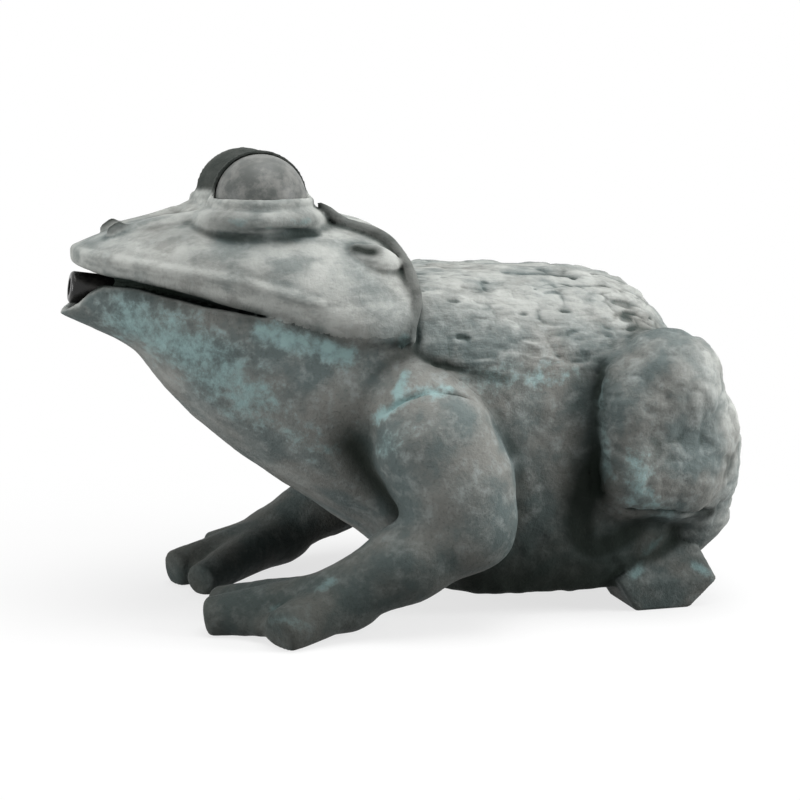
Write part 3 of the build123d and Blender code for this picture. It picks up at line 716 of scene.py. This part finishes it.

# Painted shade, nearly black: along the folds, round the eyes, in the mouth, ear and nostrils, and in the
# recesses between limbs and body; the fold's rib is also dark patina
ear_pit = (ear - 8.5 * ear_long + 1.5 * ear_out, ear - 2.5 * ear_long + 2.0 * ear_out)
painted_shade_lines = {
    "fold": (fold, 3.0, 1.0),
    "over the shoulder": (
        ((-11, -56, 120), (-9, -57, 114), (1, -58, 109), (15, -59, 104), (30, -60, 101)), 2.6, 0.9
    ),
    "before the thigh": (((69, -62, 108), (63, -66, 84), (66, -64, 50)), 6.5, 0.75),
    "over the foot": (((76, -68, 40), (92, -74, 36), (106, -72, 35), (120, -62, 40)), 4.5, 1.1),
    "armpit": (((-31, -50, 74), (-22, -48, 61), (-12, -52, 50)), 10.0, 1.0),
    "under the thigh": (((66, -62, 60), (62, -62, 42), (68, -62, 28), (88, -62, 34)), 11.0, 1.1),
    "under the lid": (((-70, -44, 158.5), (-57, -46, 158), (-46, -43.5, 159), (-40, -39, 160)), 1.5, 0.85),
    "rim of the eye": (((-80, -38, 167.5), (-62, -47, 167.5), (-46, -41, 167.5)), 1.4, 0.7),
    "lid": (((-84, -36, 165), (-62, -50, 164), (-42, -40, 165)), 6.0, 0.45),
    "ear": (ear_pit, 3.3, 1.1),
    "lips": (((-118, -23, 139.5), (-104, -32, 137), (-82, -42, 131), (-68, -46, 127.5)), 2.6, 0.95),
    "round the spout": (((-126, -10, 139), (-114, -20, 138.5), (-98, -31, 136)), 4.5, 1.1),
    "before the eye": (((-106, -22, 163), (-95, -30, 161), (-86, -35, 160)), 6.0, 0.3),
    "cheek": (((-92, -40, 150), (-78, -46, 147), (-60, -52, 143)), 5.0, 0.22),
    "corner of the mouth": (
        ((-70, -46, 128), (-55, -50, 124.4), (-38, -53.5, 119.1), (-22, -56, 117)), 2.2, 0.5
    ),
    "nostril": (((-120, -9.5, 161.5), (-115, -10, 163.5)), 2.8, 1.0),
}


# A line's steps between its points, how many widths it reaches, and how softly it fades
line_steps = 4
line_reach_share = 3
line_fade_share = 1.4

# Painted shade on the eyes' hoods: full and ending at these distances from the eye, and rising from a foot
# over its middle
hood_dark_share = 0.9
hood_dark_full = 27.0
hood_dark_end = 31.0
hood_foot = 1.5
hood_foot_full = 4.0

# Painted shade low down, under the body's own bulk: the height up to which it is full, the height where it
# ends, and its strength
low_dark = {"trunk": (10, 82, 1.0), "arm": (14, 62, 0.68), "leg": (14, 58, 0.45)}
low_dark_start = -10.0
low_dark_full = 20.0

# Weathered grey, and dust with painted top light: the heights from which they start and where they are full,
# and their shares
pale_share = 0.88
pale_start = 106.0
pale_full = 134.0
dust_and_light_start = 40.0
dust_and_light_full = 112.0
least_dust_and_light_share = 0.15
limb_dust_and_light_loss_share = 0.75


def along_lines(points, lines):
    """How close each point lies to the listed lines, times their strength."""
    total = np.zeros(len(points))
    for line, width, strength in lines.values():
        path = smooth_line(line, line_steps)
        margin = line_reach_share * width
        close = np.flatnonzero(((points > path.min(0) - margin) & (points < path.max(0) + margin)).all(1))
        nearest = np.full(len(close), np.inf)
        for start, end in zip(path, path[1:]):
            offset = points[close] - start
            share = np.clip(offset @ (end - start) / ((end - start) @ (end - start)), 0, 1)
            nearest = np.minimum(nearest, ((offset - share[:, None] * (end - start)) ** 2).sum(1))
        fade = np.exp(-nearest / (line_fade_share * width**2))
        total[close] = np.maximum(total[close], strength * fade)
    return total


def hood_shade(points):
    """Painted shade on the hoods of the eyes, from 0 to 1."""
    distance = np.sqrt(((points - eye) ** 2).sum(1))
    above = ramp(points[:, 2], eye[2] + hood_foot, eye[2] + hood_foot_full)
    return hood_dark_share * (1 - ramp(distance, hood_dark_full, hood_dark_end)) * above


def low_shade(points):
    """Painted shade low on the trunk and, less so, on the hands and hind legs, from 0 to 1."""
    leg = clear_share(leg_over_core, points)
    arm = clear_share(arm_over_core, points)
    trunk_share = ramp(points[:, 0], low_dark_start, low_dark_full) * (1 - leg) * (1 - arm)
    total = 0
    for key, share in (("trunk", trunk_share), ("arm", arm), ("leg", leg)):
        full, none, strength = low_dark[key]
        total = total + strength * (1 - ramp(points[:, 2], full, none)) * share
    return total


def shade(points):
    """Painted shade from all its causes, with the fold's dark patina, from 0 to 1."""
    causes = [hood_shade(points), along_lines(points, painted_shade_lines), low_shade(points)]
    return np.clip(np.maximum.reduce(causes), 0, 1)


def pale(points, jaw):
    """Weathered grey on the head and back, and painted light on a few upright faces, from 0 to 1."""
    high = pale_share * ramp(points[:, 2], pale_start, pale_full) * (1 - limb_share(points))
    return np.maximum(0 if jaw else high, along_lines(points, weathered_and_painted_light))


def dust_and_top_light(points):
    """How much dust and painted top light faces that look up can hold, from 0 to 1: more up high, less on the
    limbs.
    """
    high = ramp(points[:, 2], dust_and_light_start, dust_and_light_full) * (1 - least_dust_and_light_share) + least_dust_and_light_share
    return high * (1 - limb_dust_and_light_loss_share * limb_share(points))


def faceted(field, middle):
    """Points and faces of a form's surface, in millimetres; a middle piece is mirrored to both sides."""
    if middle:
        field = np.concatenate([field, field[:, -2::-1]], axis=1)
    band = 3 * cell
    filled = field < 2 * cell
    spans = [np.flatnonzero(filled.any(axis=tuple({0, 1, 2} - {axis}))) for axis in range(3)]
    first = np.array([max(span[0] - 2, 0) for span in spans])
    last = np.array([span[-1] + 3 for span in spans])
    block = field[first[0]:last[0], first[1]:last[1], first[2]:last[2]]
    block = np.pad(np.clip(block, -band, band), 1, constant_values=band)
    volume = openvdb.FloatGrid(band)
    volume.copyFromArray(np.ascontiguousarray(block, dtype=np.float32))
    points, triangles, quads = volume.convertToPolygons(isovalue=0.0, adaptivity=0.0)
    return grid_low + (points + first - 1) * cell, [*triangles.tolist(), *quads.tolist()]


def left_half(points):
    """The same points on the left side, where the fields are."""
    return points * (1, -1, 1) * np.where(points[:, 1:2] > 0, 1, (1, -1, 1))


# Outer skin, flat soles, the share of the relief that shows as painted shade in dents and lighter bumps, and
# the depth of inner faces
skin_tolerance = 0.6 * cell
rim_width = 1.0
sole_start = 0.5
sole_end = 6.0
relief_shading_share = 0.4
back_relief_shading_share = 0.35
relief_shading_low = -1.0
relief_shading_high = 0.3
inner_start = 1.2
inner_full = 2.6
sharp_angle = math.radians(55)


def sculpt(name, node, mirrored=False):
    """One casting: the skin cut to its own stretch, with relief and the values that its patina follows."""
    form = np.maximum(skin, own[name])
    form = np.minimum(form, fittings[name]) if name in fittings else form
    points, faces = faceted(form, name in shells)
    if mirrored:
        points = points * (1, -1, 1)
        faces = [face[::-1] for face in faces]
    near = left_half(points)
    out = facing(skin, near) * np.where(points[:, 1:2] > 0, (1, -1, 1), 1)
    outer = (np.abs(sample(skin, near)) < skin_tolerance) & (sample(inside, near) > rim_width)
    raised = relief(points, near) * outer * ramp(points[:, 2], sole_start, sole_end)
    mesh = bpy.data.meshes.new(node)
    mesh.from_pydata((points + out * raised[:, None]) * mm, [], faces)
    # Relief shown in colour: painted shade in dents, lighter bumps
    relief_shading = relief_shading_share + back_relief_shading_share * back_share(near)
    relief_shading = relief_shading * np.clip(raised, relief_shading_low, relief_shading_high)
    # Values the patina follows: hollow, recess and shade carry painted shade; the dust value and pale also
    # carry painted light
    marks = {
        "hollow": -sample(hollow_near, near) - relief_shading,
        "recess": -sample(hollow_wide, near),
        "dust_and_top_light": dust_and_top_light(near),
        "pale": pale(near, name == "throat_shell"),
        "back": back_share(near),
        "inner": ramp(-sample(skin, near), inner_start, inner_full),
        "verdigris": along_lines(near, stains),
        "shade": shade(near),
    }
    for mark, values in marks.items():
        layer = mesh.attributes.new(mark, "FLOAT", "POINT")
        layer.data.foreach_set("value", values.astype(np.float32))
    mesh.polygons.foreach_set("use_smooth", np.ones(len(mesh.polygons), bool))
    mesh.set_sharp_from_angle(angle=sharp_angle)
    piece = bpy.data.objects.new(node + "_skin", mesh)
    bpy.context.scene.collection.objects.link(piece)
    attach(piece, "root")
    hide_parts(node)
    return piece


class Nodes:
    """Short calls that build one material's node tree."""

    def __init__(self, name):
        self.material = bpy.data.materials.new(name)
        self.material.use_nodes = True
        self.tree = self.material.node_tree
        self.shader = self.tree.nodes["Principled BSDF"]
        self.place = self.tree.nodes.new("ShaderNodeTexCoord").outputs["Object"]

    def link(self, value, socket):
        """Sets a socket to a number, a colour or another node's output."""
        if isinstance(value, bpy.types.NodeSocket):
            self.tree.links.new(value, socket)
        elif hasattr(value, "__len__"):
            socket.default_value = (*value, 1.0)[: len(socket.default_value)]
        else:
            socket.default_value = value

    def noise(self, size_mm, detail=3.0, roughness=0.55, stretch=(1, 1, 1)):
        """Random values from 0 to 1 with features of about that size."""
        node = self.tree.nodes.new("ShaderNodeTexNoise")
        spread = self.tree.nodes.new("ShaderNodeMapping")
        self.link(self.place, spread.inputs["Vector"])
        spread.inputs["Scale"].default_value = stretch
        self.link(spread.outputs["Vector"], node.inputs["Vector"])
        node.inputs["Scale"].default_value = 1 / (size_mm * mm)
        node.inputs["Detail"].default_value = detail
        node.inputs["Roughness"].default_value = roughness
        return node.outputs["Fac"]

    def mark(self, name):
        """One of the values that sculpt() leaves on the mesh."""
        node = self.tree.nodes.new("ShaderNodeAttribute")
        node.attribute_name = name
        return node.outputs["Fac"]

    def upward(self):
        """How far the surface faces up, from -1 to 1."""
        geometry = self.tree.nodes.new("ShaderNodeNewGeometry")
        parts = self.tree.nodes.new("ShaderNodeSeparateXYZ")
        self.link(geometry.outputs["Normal"], parts.inputs[0])
        return parts.outputs["Z"]

    def steps(self, value, low, high, start=0.0, end=1.0):
        """Value mapped smoothly from low..high to start..end."""
        node = self.tree.nodes.new("ShaderNodeMapRange")
        node.interpolation_type = "SMOOTHSTEP"
        self.link(value, node.inputs["Value"])
        for key, number in (("From Min", low), ("From Max", high), ("To Min", start), ("To Max", end)):
            node.inputs[key].default_value = number
        return node.outputs["Result"]

    def math(self, operation, a, b):
        """Arithmetic on two values."""
        node = self.tree.nodes.new("ShaderNodeMath")
        node.operation = operation
        self.link(a, node.inputs[0])
        self.link(b, node.inputs[1])
        return node.outputs[0]

    def times(self, a, b):
        """Product of two values."""
        return self.math("MULTIPLY", a, b)

    def plus(self, a, b):
        """Sum of two values."""
        return self.math("ADD", a, b)

    def spread(self, noise, amount):
        """Random values moved to lie about zero, times an amount."""
        return self.times(self.math("SUBTRACT", noise, 0.5), amount)

    def mix(self, share, first, second):
        """Colour between two others."""
        node = self.tree.nodes.new("ShaderNodeMix")
        node.data_type = "RGBA"
        self.link(share, node.inputs["Factor"])
        self.link(first, node.inputs["A"])
        self.link(second, node.inputs["B"])
        return node.outputs["Result"]

    def bump(self, height, strength, depth_mm):
        """Fine relief in the shading."""
        node = self.tree.nodes.new("ShaderNodeBump")
        node.inputs["Strength"].default_value = strength
        node.inputs["Distance"].default_value = depth_mm * mm
        self.link(height, node.inputs["Height"])
        self.link(node.outputs["Normal"], self.shader.inputs["Normal"])

    def finish(self, colour, roughness, metallic=0.0):
        """Connects the shader's main inputs."""
        self.link(colour, self.shader.inputs["Base Color"])
        self.link(roughness, self.shader.inputs["Roughness"])
        self.shader.inputs["Metallic"].default_value = metallic
        return self.material


def bronze_skin():
    """Weathered bronze: brown-green metal, grey dust and weathering with painted light on top, turquoise
    stains, and painted shade in creases, recesses and along folds.
    """
    green_metal = (0.118, 0.146, 0.144)
    brown_metal = (0.188, 0.19, 0.176)
    rubbed_metal = (0.29, 0.33, 0.325)
    pitted_metal = (0.06, 0.068, 0.064)
    # Grey of dust and weathering, which also paints light on faces that look up and on a few upright faces
    grey_dust_and_painted_light = (0.5, 0.515, 0.49)
    turquoise = (0.29, 0.43, 0.43)
    # Near-black colours of painted shade: in creases and dents, in recesses, and along the shade lines
    crease_painted_shade = (0.03, 0.042, 0.038)
    recess_painted_shade = (0.012, 0.015, 0.013)
    painted_shade_black = (0.01, 0.014, 0.011)
    inner_black = (0.02, 0.021, 0.018)
    n = Nodes("bronze_patina_and_painted_light")
    clouds = n.noise(24.0, 4.0, 0.6)
    mottle = n.noise(6.0, 5.0, 0.65)
    fine = n.noise(1.4, 4.0, 0.7)
    streaks = n.noise(8.0, 4.0, 0.6, (0.45, 1, 1))
    hollow = n.mark("hollow")
    verdigris = n.mark("verdigris")

    metal = n.mix(n.steps(clouds, 0.38, 0.62), green_metal, brown_metal)
    metal = n.mix(n.steps(mottle, 0.45, 0.75, 0.0, 0.65), metal, rubbed_metal)
    metal = n.mix(n.steps(fine, 0.5, 0.75, 0.0, 0.5), metal, pitted_metal)

    # Dust and painted top light on faces that look up, with weathered grey and painted light from pale, less
    # of both in hollows
    upward = n.plus(n.upward(), n.spread(mottle, 0.6))
    dust_and_light = n.times(n.steps(upward, 0.0, 0.9, 0.0, 0.7), n.mark("dust_and_top_light"))
    dust_and_light = n.math("MAXIMUM", dust_and_light, n.mark("pale"))
    dust_and_light = n.times(dust_and_light, n.steps(hollow, -0.1, 0.4, 1.0, 0.1))
    washed = n.times(n.steps(streaks, 0.38, 0.6, 0.45, 1.0), n.steps(clouds, 0.36, 0.6, 0.7, 1.0))
    colour = n.mix(n.times(dust_and_light, washed), metal, grey_dust_and_painted_light)

    # Painted shade in creases and dents
    colour = n.mix(n.steps(hollow, 0.15, 0.75, 0.0, 0.85), colour, crease_painted_shade)
    patches = n.steps(n.plus(verdigris, n.spread(n.noise(6.0, 5.0, 0.7), 1.8)), 0.25, 1.0)
    patches = n.times(patches, n.steps(verdigris, 0.05, 0.4))
    colour = n.mix(n.times(patches, 0.85), colour, turquoise)
    # Painted shade in recesses, where the body shades itself
    colour = n.mix(n.steps(n.mark("recess"), 0.8, 3.4, 0.0, 0.9), colour, recess_painted_shade)
    # Painted shade along the dark lines, in the eyes' hoods and low on the body, with the fold's dark patina
    colour = n.mix(n.times(n.mark("shade"), 0.96), colour, painted_shade_black)
    colour = n.mix(n.times(n.mark("inner"), 0.85), colour, inner_black)

    pebbles = n.times(n.noise(3.4, 2.0, 0.5, (0.35, 1, 1)), n.mark("back"))
    n.bump(n.plus(n.plus(fine, n.noise(4.0, 3.0)), n.times(pebbles, 3.0)), 0.65, 0.7)
    n.shader.inputs["Specular IOR Level"].default_value = 0.04
    return n.finish(colour, n.steps(mottle, 0.3, 0.8, 0.5, 0.7))


def bronze_eye():
    """Smoother bronze of the eyeballs, with painted light on their tops."""
    dark_metal = (0.085, 0.092, 0.088)
    rubbed_metal = (0.19, 0.192, 0.182)
    grey_dust_and_painted_light = (0.3, 0.31, 0.29)
    n = Nodes("eye_patina_and_top_light")
    mottle = n.noise(7.0, 5.0, 0.65)
    metal = n.mix(n.steps(mottle, 0.38, 0.66), dark_metal, rubbed_metal)
    # Painted light: the eyeball's top lighter than its sides
    colour = n.mix(n.steps(n.upward(), 0.2, 1.0, 0.0, 0.2), metal, grey_dust_and_painted_light)
    n.bump(n.noise(2.4, 3.0), 0.3, 0.4)
    n.shader.inputs["Specular IOR Level"].default_value = 0.2
    return n.finish(colour, n.steps(mottle, 0.3, 0.8, 0.36, 0.5))


def plain_metal(name, colour, tarnish, roughness, metallic):
    """Turned, drawn or moulded material with tarnish in blotches."""
    n = Nodes(name)
    blotches = n.noise(4.0, 4.0)
    n.bump(n.noise(0.8, 2.0), 0.1, 0.1)
    tone = n.mix(n.steps(blotches, 0.4, 0.7), colour, tarnish)
    return n.finish(tone, n.steps(blotches, 0.3, 0.7, roughness, roughness + 0.2), metallic)


# The castings wear the sculpted skin
skins = [sculpt(node, node) for node in shells]
for limb in limbs:
    skins.append(sculpt(limb, "left_" + limb))
    skins.append(sculpt(limb, "right_" + limb, mirrored=True))
patina = bronze_skin()
for piece in skins:
    piece.data.materials.append(patina)

# Eyes, spout, pipe and fittings stay as the solids, with their own materials
finishes = {
    "bronze_eye": bronze_eye(),
    "dark_spout": plain_metal("dark_spout_metal", (0.012, 0.012, 0.012), (0.03, 0.029, 0.027), 0.22, 0.3),
    "copper_pipe": plain_metal("dull_copper", (0.42, 0.2, 0.12), (0.16, 0.11, 0.08), 0.4, 0.9),
    "steel_fixing": plain_metal("zinc_steel", (0.5, 0.5, 0.51), (0.3, 0.3, 0.3), 0.35, 0.9),
    "brass_fitting": plain_metal("tarnished_brass", (0.55, 0.4, 0.16), (0.25, 0.19, 0.09), 0.3, 0.9),
    "rubber_washer": plain_metal("black_rubber", (0.02, 0.02, 0.02), (0.035, 0.035, 0.034), 0.6, 0.0),
}
for subpart in frame["record"]["subparts"]:
    if subpart["material_slot"] in finishes:
        node = frame["nodes"][subpart["node"]]
        node.data.materials.clear()
        node.data.materials.append(finishes[subpart["material_slot"]])

# Floor: pale near the frog, where its shadow falls, and white further out
floor_size = 30.0
shadow_near = 0.1
shadow_far = 0.34
near_glow_share = 0.72
floor_mesh = bpy.data.meshes.new("floor")
corners = [(x * floor_size / 2, y * floor_size / 2, 0) for x, y in ((-1, -1), (1, -1), (1, 1), (-1, 1))]
floor_mesh.from_pydata(corners, [], [(0, 1, 2, 3)])
floor = bpy.data.objects.new("floor", floor_mesh)
bpy.context.scene.collection.objects.link(floor)


def seen_directly(tree):
    """1 for rays from the camera and for mirror and glass rays, which should see the white background."""
    path = tree.nodes.new("ShaderNodeLightPath")
    total = path.outputs["Is Camera Ray"]
    for key in ("Is Glossy Ray", "Is Transmission Ray"):
        node = tree.nodes.new("ShaderNodeMath")
        node.operation = "MAXIMUM"
        tree.links.new(total, node.inputs[0])
        tree.links.new(path.outputs[key], node.inputs[1])
        total = node.outputs[0]
    return total


def pale_floor():
    """Pale paper that glows white away from the frog and throws little light back at it."""
    n = Nodes("pale_floor")
    paper = n.mix(n.noise(400.0), (0.88, 0.88, 0.88), (0.9, 0.9, 0.9))
    n.finish(n.mix(seen_directly(n.tree), (0.25, 0.25, 0.25), paper), 0.9)
    white = n.tree.nodes.new("ShaderNodeEmission")
    distance = n.tree.nodes.new("ShaderNodeVectorMath")
    distance.operation = "LENGTH"
    n.link(n.place, distance.inputs[0])
    glow = n.steps(distance.outputs["Value"], shadow_near, shadow_far, near_glow_share)
    blend = n.tree.nodes.new("ShaderNodeMixShader")
    n.link(n.times(glow, seen_directly(n.tree)), blend.inputs["Fac"])
    n.link(n.shader.outputs[0], blend.inputs[1])
    n.link(white.outputs[0], blend.inputs[2])
    n.link(blend.outputs[0], n.tree.nodes["Material Output"].inputs["Surface"])
    return n.material


floor_mesh.materials.append(pale_floor())

# An even white room, which the camera sees as a white background
room_strength = 0.3
world = bpy.data.worlds.new("studio")
bpy.context.scene.world = world
world.use_nodes = True
room = world.node_tree.nodes["Background"]
backdrop = world.node_tree.nodes.new("ShaderNodeBackground")
either = world.node_tree.nodes.new("ShaderNodeMixShader")
room.inputs["Color"].default_value = (1, 1, 1, 1)
room.inputs["Strength"].default_value = room_strength
backdrop.inputs["Color"].default_value = (1, 1, 1, 1)
world.node_tree.links.new(seen_directly(world.node_tree), either.inputs["Fac"])
world.node_tree.links.new(room.outputs[0], either.inputs[1])
world.node_tree.links.new(backdrop.outputs[0], either.inputs[2])
world.node_tree.links.new(either.outputs[0], world.node_tree.nodes["World Output"].inputs["Surface"])

# Soft studio light: a large panel overhead and one on either side, each with its place, size and watts
panel_target = Vector((0, 0, 0.09))
panels = {
    "top_panel": ((0.05, -0.15, 1.1), 0.8, 9.0),
    "left_panel": ((-1.0, -0.2, 0.2), 0.5, 6.0),
    "right_panel": ((0.9, -0.5, 0.4), 0.5, 10.0),
}
for name, (place, size, power) in panels.items():
    lamp = bpy.data.lights.new(name, "AREA")
    lamp.size = size
    lamp.energy = power
    light = bpy.data.objects.new(name, lamp)
    light.location = place
    light.rotation_euler = (panel_target - light.location).to_track_quat("-Z", "Y").to_euler()
    bpy.context.scene.collection.objects.link(light)

# Camera at the photograph's viewing angle
azimuth = math.radians(-16)
elevation = math.radians(9)
camera_distance = 0.85
camera_target = Vector((0, -0.011, 0.086))
sensor_width_mm = 36.0
focal_length_px = 2024
picture_width_px = 800
level_x, level_y = math.sin(azimuth), -math.cos(azimuth)
level_share = math.cos(elevation)
towards_camera = Vector((level_x * level_share, level_y * level_share, math.sin(elevation)))
lens = bpy.data.cameras.new("camera")
lens.sensor_width = sensor_width_mm
lens.sensor_fit = "HORIZONTAL"
lens.lens = sensor_width_mm * focal_length_px / picture_width_px
camera = bpy.data.objects.new("camera", lens)
camera.location = camera_target + towards_camera * camera_distance
camera.rotation_euler = towards_camera.to_track_quat("Z", "Y").to_euler()
bpy.context.scene.collection.objects.link(camera)
bpy.context.scene.camera = camera
bpy.context.scene.view_settings.view_transform = "Standard"
